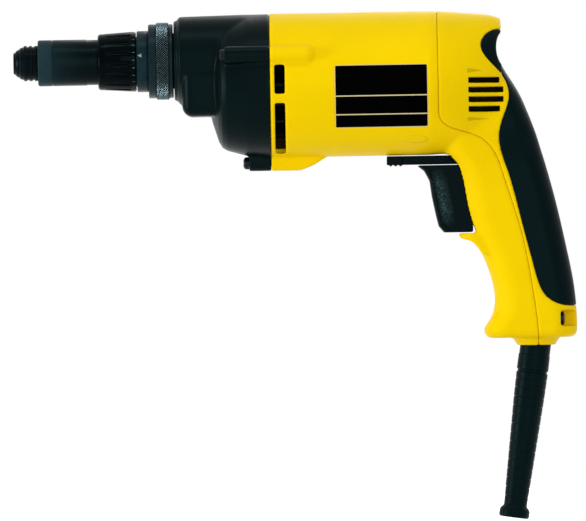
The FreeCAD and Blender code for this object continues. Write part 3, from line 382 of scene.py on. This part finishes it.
COOL_GLOSS = (0.45, 0.9, 1.0, 1)
WARM_GLOSS = (1, 0.8, 0.1, 1)
EVEN = (1, 1, 1)
BLACK_GLOSS = {"Specular_IOR_Level": 0.05, "Specular_Tint": COOL_GLOSS}
NYLON_BLACK = (0.0008, 0.002, 0.0024)
YELLOW = (0.90, 0.62, 0.001)
CASE_BLACK = (0.0012, 0.004, 0.0045)
SLATE = (0.001, 0.0048, 0.0055)
yellow = moulded_plastic(
    "yellow_moulding", YELLOW, 0.42, grain=0.7, depth=0.015, tint=0.97, relief=raised_oval,
    shadow=shadowed_yellow, Specular_IOR_Level=0.06, Specular_Tint=WARM_GLOSS)
cast_black = moulded_plastic(
    "cast_black_paint", CASE_BLACK, 0.3, grain=0.6, depth=0.03, tint=0.8, **BLACK_GLOSS)
nylon_black = moulded_plastic(
    "nylon_black", NYLON_BLACK, 0.26, grain=0.4, depth=0.02, tint=0.8, **BLACK_GLOSS)
stipple_black = moulded_plastic(
    "stippled_black", NYLON_BLACK, 0.36, grain=1.1, depth=0.25, tint=0.7, **BLACK_GLOSS)
slate_rubber = moulded_plastic(
    "slate_rubber", SLATE, 0.38, grain=0.8, depth=0.05, tint=0.8, Specular_IOR_Level=0.045,
    Specular_Tint=COOL_GLOSS)
steel = metal("turned_steel", (0.56, 0.57, 0.58), 0.24)
dark_steel = metal("oxide_steel", (0.05, 0.06, 0.065), 0.3)
screw_oxide = metal("screw_oxide", (0.012, 0.016, 0.018), 0.32)
zinc = metal("zinc_plate", (0.62, 0.62, 0.59), 0.26, EVEN, cell=1.2)
bronze = metal("sintered_bronze", (0.5, 0.34, 0.16), 0.42, EVEN, cell=0.3, depth=0.03)
brass = metal("drawn_brass", (0.74, 0.56, 0.24), 0.25, stretch=(1, 0.06, 1))
aluminium = metal("cast_aluminium", (0.66, 0.67, 0.68), 0.4, EVEN, cell=0.8, depth=0.03)
carbon = metal("pressed_carbon", (0.045, 0.045, 0.047), 0.55, EVEN, cell=0.35, depth=0.02, metallic=0.2)


def stacked_sheets():
    """Punched steel sheets seen on edge along the motor axis."""
    thickness = 0.5
    finish = Finish("stacked_sheets", Metallic=0.8)
    along = finish.axes()[0]
    sheets = finish.node("Math", {"operation": "FRACT"}, along * (1 / thickness))
    joint = sheets < 0.18
    patches = finish.noise(4, 3.0)
    finish.feed("Base Color", finish.mix(joint, (0.23, 0.23, 0.24), (0.06, 0.05, 0.045)))
    finish.feed("Roughness", 0.38 + 0.2 * patches)
    finish.bump(1 - joint, 0.04)
    return finish


def enamelled_wire(name, stretch):
    """Copper wire laid side by side under clear enamel."""
    finish = Finish(name, Metallic=0.9, Coat_Weight=0.3)
    strands = finish.noise(0.55, 1.0, stretch)
    tone = finish.noise(7, 3.0)
    coppery = finish.mix(finish.ramp(strands, 0.35, 0.65), (0.28, 0.09, 0.03), (0.6, 0.24, 0.09))
    finish.feed("Base Color", finish.mix(finish.ramp(tone, 0.4, 0.7) * 0.5, coppery, (0.45, 0.2, 0.06)))
    finish.feed("Roughness", 0.28 + 0.15 * tone)
    finish.bump(strands, 0.2)
    return finish


def banded_nylon():
    """Black nylon of the sleeve; its front up to the groove is a lighter blue-grey, and a painted blue-grey
    highlight fades from there towards the rear.
    """
    band_end, fade_end = 14.2, 31
    finish = Finish("banded_nylon", **BLACK_GLOSS)
    along = finish.axes()[0]
    cloud = finish.noise(7, 4.0)
    grains = finish.noise(0.4, 1.0)
    # Partly the sleeve's lighter front band up to the groove, partly a painted highlight that fades towards
    # the rear.
    band = finish.ramp(along, band_end, band_end + 0.4, 0.45, 0.0) + finish.ramp(along, 8, fade_end, 0.5, 0.0)
    tone = finish.mix(band * finish.ramp(cloud, 0.2, 0.7, 0.75, 1.0), NYLON_BLACK, (0.014, 0.036, 0.042))
    finish.feed("Base Color", tone)
    finish.feed("Roughness", 0.24 + 0.16 * band + 0.06 * cloud)
    finish.bump(grains, 0.02)
    return finish


def gloss_black():
    """High-gloss black of the setting collar, with short white graduations near its rear edge."""
    marks, line_start, line_end = 24, 57.1, 58.4
    finish = Finish("gloss_black", Specular_IOR_Level=0.04, Specular_Tint=COOL_GLOSS)
    along, across, up = finish.axes()
    turn = finish.node("Math", {"operation": "ARCTAN2"}, up, 0 - across) * (marks / (2 * math.pi)) + 0.35
    part = abs(finish.node("Math", {"operation": "FRACT"}, turn + 100.0) - 0.5)
    line = (part < 0.03) * (along > line_start) * (along < line_end)
    haze = finish.ramp(finish.noise(5, 5.0), 0.45, 0.7)
    smears = finish.noise(1.5, 3.0, (0.3, 1, 1))
    finish.feed("Base Color", finish.mix(line, (0.0003, 0.0004, 0.0005), (0.16, 0.18, 0.18)))
    finish.feed("Roughness", 0.1 + 0.1 * haze + 0.2 * line + 0.05 * smears)
    finish.bump(smears, 0.01)
    return finish


def index_grey():
    """Blue-grey satin of the index ring, with a small pale pointer on its left side."""
    pointer_tip, pointer_rear, pointer_height = 59.9, 62, 3.0
    finish = Finish("index_grey", Specular_IOR_Level=0.08, Specular_Tint=COOL_GLOSS)
    along, across, up = finish.axes()
    spread = abs(up - pointer_height)
    pointer = (spread < (along - pointer_tip) * 0.5) * (along < pointer_rear) * (across < 0)
    grains = finish.noise(0.4, 2.0)
    cloud = finish.noise(6, 3.0)
    body = finish.mix(finish.ramp(cloud, 0.35, 0.65), (0.0045, 0.015, 0.0195), (0.0075, 0.0225, 0.0285))
    finish.feed("Base Color", finish.mix(pointer, body, (0.26, 0.29, 0.3)))
    finish.feed("Roughness", 0.26 + 0.1 * cloud)
    finish.bump(grains, 0.015)
    return finish


def knurled_oxide():
    """Dark oxide steel whose raised knurl points are worn bright, and whose flat lands stay black."""
    black_up_to, bright_from = 20.15, 20.45
    finish = Finish("knurled_oxide", Specular_IOR_Level=0.12, Specular_Tint=COOL_GLOSS)
    _, across, up = finish.axes()
    radius = (across ** 2 + up ** 2) ** 0.5
    worn = finish.ramp(radius, black_up_to, bright_from)
    blotch = finish.ramp(finish.noise(1.2, 3.0), 0.3, 0.7)
    lines = finish.noise(0.4, 2.0, (1, 0.08, 0.08))
    land = finish.mix(blotch, (0.003, 0.008, 0.010), (0.005, 0.012, 0.014))
    finish.feed("Base Color", finish.mix(worn * (0.7 + 0.3 * blotch), land, (0.34, 0.48, 0.52)))
    finish.feed("Metallic", worn * 0.7)
    finish.feed("Roughness", 0.26 + 0.12 * blotch)
    finish.bump(lines, 0.01)
    return finish


def label_film():
    """Black printed film with two thin pale printed rules and a painted pale highlight along its edge; the
    panel between them is bare.
    """
    middle, bare_half = (188.45, -20.8), (24.2, 16.25)
    high_rule, low_rule, half_rule = -20.6, -30.4, 0.3
    finish = Finish("label_film", Specular_IOR_Level=0.004)
    along, _, up = finish.axes()
    rules = (abs(up - high_rule) < half_rule) + (abs(up - low_rule) < half_rule)
    # Painted highlight: a pale line along the film's edge.
    edge = (abs(along - middle[0]) > bare_half[0]) + (abs(up - middle[1]) > bare_half[1])
    pale = finish.node("Clamp", {}, rules + edge)
    speck = finish.noise(0.5, 2.0)
    cloud = finish.noise(14, 4.0)
    film = finish.mix(finish.ramp(cloud, 0.35, 0.7), (0.0002, 0.0002, 0.0003), (0.0004, 0.0004, 0.0005))
    finish.feed("Base Color", finish.mix(pale, film, (0.66, 0.58, 0.3)))
    finish.feed("Roughness", 0.34 + 0.08 * cloud)
    finish.bump(speck, 0.004)
    return finish


def stipple_painted_highlight():
    """Stippled black of the trigger, with a painted highlight: a mottled slate grey along its front."""
    front_edge, lean = 201.6, 0.2
    finish = Finish("stipple_painted_highlight", **BLACK_GLOSS)
    along, _, up = finish.axes()
    behind = along - front_edge + up * lean
    stripe = finish.ramp(behind, 0.2, 2.6) * finish.ramp(behind, 3.2, 8.0, 1.0, 0.0)
    front = stripe * finish.ramp(up, -59, -68) * finish.ramp(up, -90, -82)
    grains = finish.noise(1.1, 1.0)
    mottle = finish.ramp(finish.noise(0.9, 3.0), 0.42, 0.64)
    # Painted highlight: mottled slate grey mixed into the black along the trigger's front.
    finish.feed("Base Color", finish.mix(front * (0.2 + 0.8 * mottle), NYLON_BLACK, (0.036, 0.074, 0.08)))
    finish.feed("Roughness", 0.34 + 0.1 * mottle)
    finish.bump(grains, 0.25)
    return finish


sheets = stacked_sheets()
field_wire = enamelled_wire("field_wire", (0.04, 1, 1))
armature_wire = enamelled_wire("armature_wire", (1, 0.25, 0.25))
commutator_copper = metal("commutator_copper", (0.62, 0.3, 0.14), 0.28, stretch=(1, 0.3, 0.3))
sleeve_nylon = banded_nylon()
collar_gloss = gloss_black()
ring_grey = index_grey()
knurl_steel = knurled_oxide()
film = label_film()
trigger_black = stipple_painted_highlight()

NODE_FINISHES = {
    "lock_spring_ring": steel, "spindle_bush": bronze, "thrust_washer": bronze, "spindle": steel,
    "spindle_gear": steel, "screw_bit": dark_steel, "bit_holder": steel, "bit_ring": steel,
    "bit_magnet": dark_steel, "bearing_plate": aluminium, "gear_bush": bronze, "front_bearing_outer": steel,
    "front_bearing_inner": steel, "front_bearing_balls": steel, "rear_bearing_outer": steel,
    "rear_bearing_inner": steel, "rear_bearing_balls": steel, "armature_shaft": steel,
    "armature_core": sheets, "armature_windings": armature_wire, "commutator": commutator_copper,
    "cooling_fan": nylon_black, "field_core": sheets, "field_windings": field_wire, "brush_holders": brass,
    "brushes": carbon, "brush_springs": steel, "side_labels": film, "handle_cover_screws": screw_oxide,
    "trigger_switch": nylon_black, "lead_wires": slate_rubber, "cord_clamp": nylon_black,
    "cord_clamp_screws": zinc,
}
for node, finish in NODE_FINISHES.items():
    nodes[node].data.materials.clear()
    nodes[node].data.materials.append(finish.material)


# Nosepiece
def nose_tip():
    profile = [(-6, 4.9), (-6, 5.3), (-5.8, 5.6), (-4.9, 6.0), (-4.6, 6.6), (-3.5, 7.35), (-3.2, 7.2),
               (-2.9, 7.7), (-1.9, 8.45), (-1.4, 8.45), (-1.0, 8.6)]
    ribs, first_rib, rib_pitch = 3, -0.6, 2.8
    for rib in range(ribs):
        start = first_rib + rib_pitch * rib
        profile += [(start, 8.8), (start + 0.2, 9.2), (start + 0.7, 9.4), (start + 1.3, 9.4),
                    (start + 1.8, 9.2), (start + 2, 8.8)]
    profile += [(7, 8.5), (14, 8.5), (14, 6.6), (-1, 6.6), (-1, 4.9)]
    piece = turned("ribbed_nose_tip", profile)
    dress(put_down(piece, 25), "nose", nylon_black.material, "black_nylon", "nose_tip")


def nose_sleeve():
    piece = turned("long_nose_sleeve", [
        (7, 8.5), (7, 11.5), (7.3, 11.9), (8, 12.2), (14.2, 12.2), (14.4, 12), (14.8, 12), (15, 12.2),
        (32.6, 12.2), (33, 11.95), (39.5, 11.95), (39.5, 11), (61, 11), (61, 7.6), (14, 7.6), (14, 8.5)])
    finish_with(piece, "BEVEL", width=0.12 * MM, segments=2, limit_method="ANGLE",
                angle_limit=math.radians(40))
    dress(put_down(piece), "nose", sleeve_nylon.material, "black_nylon", "nose_sleeve")


def setting_collar():
    piece = turned("fluted_setting_collar", [
        (38.8, 12.5), (38.8, 13.6), (39.0, 14.1), (39.4, 14.5), (40, 14.8), (47, 15.2), (58.1, 15.9),
        (58.7, 15.7), (59.1, 15.1), (59.1, 13.35), (53.1, 13.35), (53.1, 11.3), (46.5, 11.3),
        (46.5, 12.5)], steps=128)
    count, radius, length, start, circle = 16, 1.9, 11.2, 43.6, 16.5
    flute = add("uv_sphere", "flute", segments=16, ring_count=12, radius=radius * MM, location=(0, 0, 0),
                rotation=(0, math.pi / 2, 0))
    put_down(flute)
    work_on(flute)
    choose(lambda spot: spot.x > 0.01)
    bpy.ops.transform.translate(value=(length * MM, 0, 0))
    put_down(flute)
    flutes = []
    for number in range(count):
        angle = 2 * math.pi * (number + 0.25) / count
        shift = (start, circle * math.cos(angle), circle * math.sin(angle))
        flutes.append(twin(flute, "flute_%02d" % number, shift))
    bpy.data.objects.remove(flute)
    combine(piece, joined("flutes", flutes), "DIFFERENCE")
    dress(put_down(piece, 25), "collar", collar_gloss.material, "gloss_black", "adjuster_collar")


def index_ring():
    piece = turned("index_pointer_ring", [
        (54.1, 11.05), (54.1, 13.3), (59.5, 13.3), (59.5, 15.7), (59.7, 16.05), (60.1, 16.2), (65, 16.2),
        (65.4, 16.05), (65.6, 15.7), (65.6, 13.9), (69, 13.9), (69, 11.05)])
    dress(put_down(piece, 25), "nosepiece", ring_grey.material, "index_grey", "index_ring")


def lock_collar():
    ring = turned("lock_collar_ring", [
        (65.6, 13.9), (65.6, 19.0), (65.8, 19.4), (66.2, 19.6), (69.2, 19.6), (69.4, 19.4), (69.6, 19.6),
        (76.5, 19.6), (76.7, 19.4), (76.9, 19.6), (78.2, 19.6), (78.6, 19.2), (78.6, 14.05), (69, 14.05),
        (69, 13.9)], steps=128)
    around, rows, start, width, low, high = 200, 10, 69.7, 6.7, 19.8, 20.6
    pitch = width / rows
    band = add("circle", "knurl_band", vertices=around, radius=low * MM, location=(start * MM, 0, 0),
               rotation=(0, math.pi / 2, 0))
    put_down(band)
    work_on(band)
    for row in range(rows):
        bpy.ops.mesh.extrude_region_move(TRANSFORM_OT_translate={"value": (pitch * MM, 0, 0)})

    def peak(spot):
        row = round((spot.x - start) / pitch)
        step = round(math.atan2(spot.z, spot.y) / (2 * math.pi) * around)
        return 0 < row < rows and (row + step) % 2 == 0

    choose(peak)
    bpy.ops.transform.resize(value=(1, high / low, high / low), center_override=(0, 0, 0))
    bpy.ops.mesh.select_all(action="SELECT")
    bpy.ops.mesh.quads_convert_to_tris(quad_method="SHORTEST_DIAGONAL")
    bpy.ops.mesh.normals_make_consistent(inside=False)
    finish_with(band, "SOLIDIFY", thickness=0.4 * MM, offset=-1)
    work_on(band)
    bpy.ops.mesh.normals_make_consistent(inside=False)
    put_down(band, 5)
    put_down(ring, 30)
    piece = joined("knurled_lock_collar", [ring, band])
    dress(piece, "nosepiece", knurl_steel.material, "dark_steel", "knurled_collar")


nose_tip()
nose_sleeve()
setting_collar()
index_ring()
lock_collar()


# Gear case and its screws
def gear_case():
    piece = moulded(taken_from("gear_case", "cast_gear_case"), grain=0.62, rounds=6)
    dress(piece, "body", cast_black.material, "black_case", "gear_case")


def pan_head_screw(name, seat, tip, y, z):
    """A pan-head screw with a cross recess; the head points to the nose."""
    piece = turned(name, [
        (seat - 3.2, 0.02), (seat - 3.1, 1.6), (seat - 2.7, 2.6), (seat - 2.0, 3.15), (seat - 1.2, 3.3),
        (seat, 3.3), (seat, 1.85), (tip - 1.2, 1.85), (tip, 0.8), (tip, 0.02)], steps=40)
    for wide, thin in ((1.9, 0.42), (0.42, 1.9)):
        slot = block("slot", (seat - 4, -wide, -thin), (seat - 1.5, wide, thin), edge=0.1, segments=1)
        combine(piece, slot, "DIFFERENCE")
    piece.location = Vector((0, y, z)) * MM
    return put_down(piece, 30)


def case_screws():
    screws = [pan_head_screw("case_screw_left", seat=106, tip=145.7, y=-34.2, z=2),
              pan_head_screw("case_screw_right", seat=106, tip=145.7, y=34.2, z=2),
              pan_head_screw("case_screw_low", seat=118, tip=143.7, y=0, z=-54.9)]
    dress(joined("case_screws", screws), "body", screw_oxide.material, "dark_steel", "gear_case_screws")


gear_case()
case_screws()


# Yellow shells and rubber grip
def motor_shell():
    piece = moulded(taken_from("motor_housing", "yellow_motor_shell"), grain=0.6, rounds=10, kept=0.38)
    front, rear, corner = 132.1, 137.6, 1.0
    for near, far in ((-45, -8.3), (8.3, 45)):
        for low, high in ((-18.8, -3.4), (-50.1, -23.6)):
            combine(piece, block("vent_cut", (front, near, low), (rear, far, high), corner), "DIFFERENCE")
    put_down(piece, 50)
    dress(piece, "body", yellow.material, "yellow_shell", "motor_housing")


def handle_shell():
    piece = taken_from("handle_cover", "yellow_handle_shell")
    dress(moulded(piece, grain=0.72, rounds=4), "body", yellow.material, "yellow_shell", "handle_cover")


def rubber_grip():
    piece = moulded(taken_from("rear_grip", "rubber_rear_grip"), grain=0.55, rounds=8)
    dress(piece, "body", slate_rubber.material, "slate_rubber", "rear_grip")


motor_shell()
handle_shell()
rubber_grip()


# Trigger, lever and cord protector
def trigger():
    piece = moulded(taken_from("trigger", "stippled_trigger"), grain=0.5, rounds=10)
    dress(piece, "trigger", trigger_black.material, "black_nylon", "trigger")


def reversing_lever():
    piece = taken_from("reversing_lever", "ribbed_reversing_lever")
    ribs, first_rib, rib_pitch = 3, 193, 2.6
    for number in range(ribs):
        middle = first_rib + rib_pitch * number
        rib = block("lever_rib", (middle - 0.5, -6, -58), (middle + 0.5, 6, -56.6), edge=0.3, segments=2)
        combine(piece, rib, "UNION")
    moulded(piece, grain=0.35, rounds=5)
    dress(piece, "lever", stipple_black.material, "black_nylon", "reversing_lever")


def cord_protector():
    top, lean = Vector((268, 0, -154.5)), math.radians(8.2)
    grooves, first_groove, groove_pitch, groove_depth = 14, 17.2, 4.8, 0.22
    neck, waist, end = (14.3, 8.35), (28, 8.1), (84.8, 6.1)
    profile = [(-9, 5.2), (-9, 10.2), (-8.7, 10.5), (-6.3, 10.5), (-6, 10.2), (-6, 8.1), (4.5, 8.1),
               (4.8, 8.3), (12.4, 8.4), (12.8, 7.9), (13.1, 7.8), (13.7, 7.8), (14.0, 7.9), neck]
    for groove in range(grooves):
        start = first_groove + groove_pitch * groove
        (wide_x, wide), (thin_x, thin) = (neck, waist) if start < waist[0] else (waist, end)
        radius = wide - (wide - thin) * (start - wide_x) / (thin_x - wide_x)
        profile += [(start, radius), (start + 0.3, radius - groove_depth),
                    (start + 0.6, radius - groove_depth), (start + 0.9, radius - 0.03)]
    profile += [end, (85.6, 6.5), (86.4, 7.35), (87.2, 7.8), (87.9, 8), (90.5, 8), (91.1, 7.6),
                (91.4, 7.2), (91.4, 4.2), (1, 4.2), (1, 5.2)]
    piece = turned("cord_protector_sleeve", profile)
    piece.rotation_euler = (0, math.pi / 2 + lean, 0)
    piece.location = top * MM
    dress(put_down(piece, 28), "body", slate_rubber.material, "slate_rubber", "cord_protector")


def spring(node, body):
    """A coil spring taken from its node, with a mesh of its own, on the body that holds it."""
    piece = taken_from(node, "coiled_" + node)
    dress(piece, body, steel.material, "steel", node)
    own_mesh(piece)


trigger()
reversing_lever()
cord_protector()
spring("trigger_spring", "body")
spring("clutch_spring", "spindle")


# Studio, in metres: pale floor, white room, an overhead strip, a narrow key at the nose and two soft fills
TOOL_MIDDLE = Vector((0.14, 0, -0.06))
FLOOR_SIZE = 2.2
FLOOR_MIDDLE = 0.13
FLOOR_GAP = 0.0015
PAPER_GLOW = (0.75, 0.75, 0.75)
ROOM_LIGHT = 0.45
ROOM_SEEN = 1.0
LENS = 800
PICTURE_WIDTH = 0.3106
PICTURE_MIDDLE = (0.1403, -0.1068)
PICTURE_TURN = math.radians(-1)


def studio_floor():
    """Pale paper that the eye and mirrors see a little brighter, so that it meets the white behind it."""
    low = cad_box[0].z - FLOOR_GAP
    floor = add("plane", "studio_floor", size=FLOOR_SIZE, location=(FLOOR_MIDDLE, 0, low))
    paper = Finish("pale_paper", Roughness=0.9, Specular_IOR_Level=0.1, Emission_Strength=1.0)
    fibre = paper.noise(3, 4.0)
    paper.feed("Base Color", paper.mix(fibre, (0.92, 0.92, 0.92), (0.96, 0.96, 0.96)))
    kinds = ("Camera", "Glossy", "Transmission")
    looks = [paper.node("LightPath", output="Is %s Ray" % kind) for kind in kinds]
    seen = paper.node("Clamp", {}, looks[0] + looks[1] + looks[2])
    paper.feed("Emission Color", paper.mix(seen, (0, 0, 0), PAPER_GLOW))
    floor.data.materials.append(paper.material)


def surroundings():
    """A white room that lights the tool less than the eye, mirrors and clear pieces see it."""
    world = bpy.data.worlds.new("white_room")
    bpy.context.scene.world = world
    world.use_nodes = True
    tree = world.node_tree
    back = tree.nodes["Background"]
    rays = tree.nodes.new("ShaderNodeLightPath")
    seen = rays.outputs["Is Camera Ray"]
    for kind in ("Glossy", "Transmission"):
        either = tree.nodes.new("ShaderNodeMath")
        either.operation = "MAXIMUM"
        tree.links.new(seen, either.inputs[0])
        tree.links.new(rays.outputs["Is %s Ray" % kind], either.inputs[1])
        seen = either.outputs[0]
    level = tree.nodes.new("ShaderNodeMapRange")
    level.inputs["To Min"].default_value = ROOM_LIGHT
    level.inputs["To Max"].default_value = ROOM_SEEN
    tree.links.new(seen, level.inputs["Value"])
    back.inputs["Color"].default_value = (1, 1, 1, 1)
    tree.links.new(level.outputs[0], back.inputs["Strength"])


def softbox(name, place, width, height, power):
    """A rectangular lamp aimed at the middle of the tool."""
    data = bpy.data.lights.new(name, "AREA")
    data.shape = "RECTANGLE"
    data.size = width
    data.size_y = height
    data.energy = power
    lamp = bpy.data.objects.new(name, data)
    bpy.context.collection.objects.link(lamp)
    lamp.location = place
    lamp.rotation_euler = (TOOL_MIDDLE - Vector(place)).to_track_quat("-Z", "Y").to_euler()


def camera():
    data = bpy.data.cameras.new("camera")
    data.lens = LENS
    eye = bpy.data.objects.new("camera", data)
    bpy.context.collection.objects.link(eye)
    distance = PICTURE_WIDTH * data.lens / data.sensor_width
    place = Matrix.Translation((PICTURE_MIDDLE[0], -distance, PICTURE_MIDDLE[1]))
    eye.matrix_world = place @ Matrix.Rotation(math.pi / 2, 4, "X") @ Matrix.Rotation(PICTURE_TURN, 4, "Z")
    bpy.context.scene.camera = eye


studio_floor()
surroundings()
softbox("overhead_strip", (0.14, -0.22, 0.55), width=0.7, height=0.06, power=1.2)
softbox("nose_key", (-1.2, -0.45, 0.02), width=0.25, height=0.6, power=9.5)
softbox("front_fill", (0.5, -1.25, 0.05), width=0.9, height=0.9, power=4.8)
softbox("rear_fill", (0.5, 0.9, 0.5), width=0.8, height=0.8, power=3)
camera()
bpy.context.scene.view_settings.view_transform = "Standard"
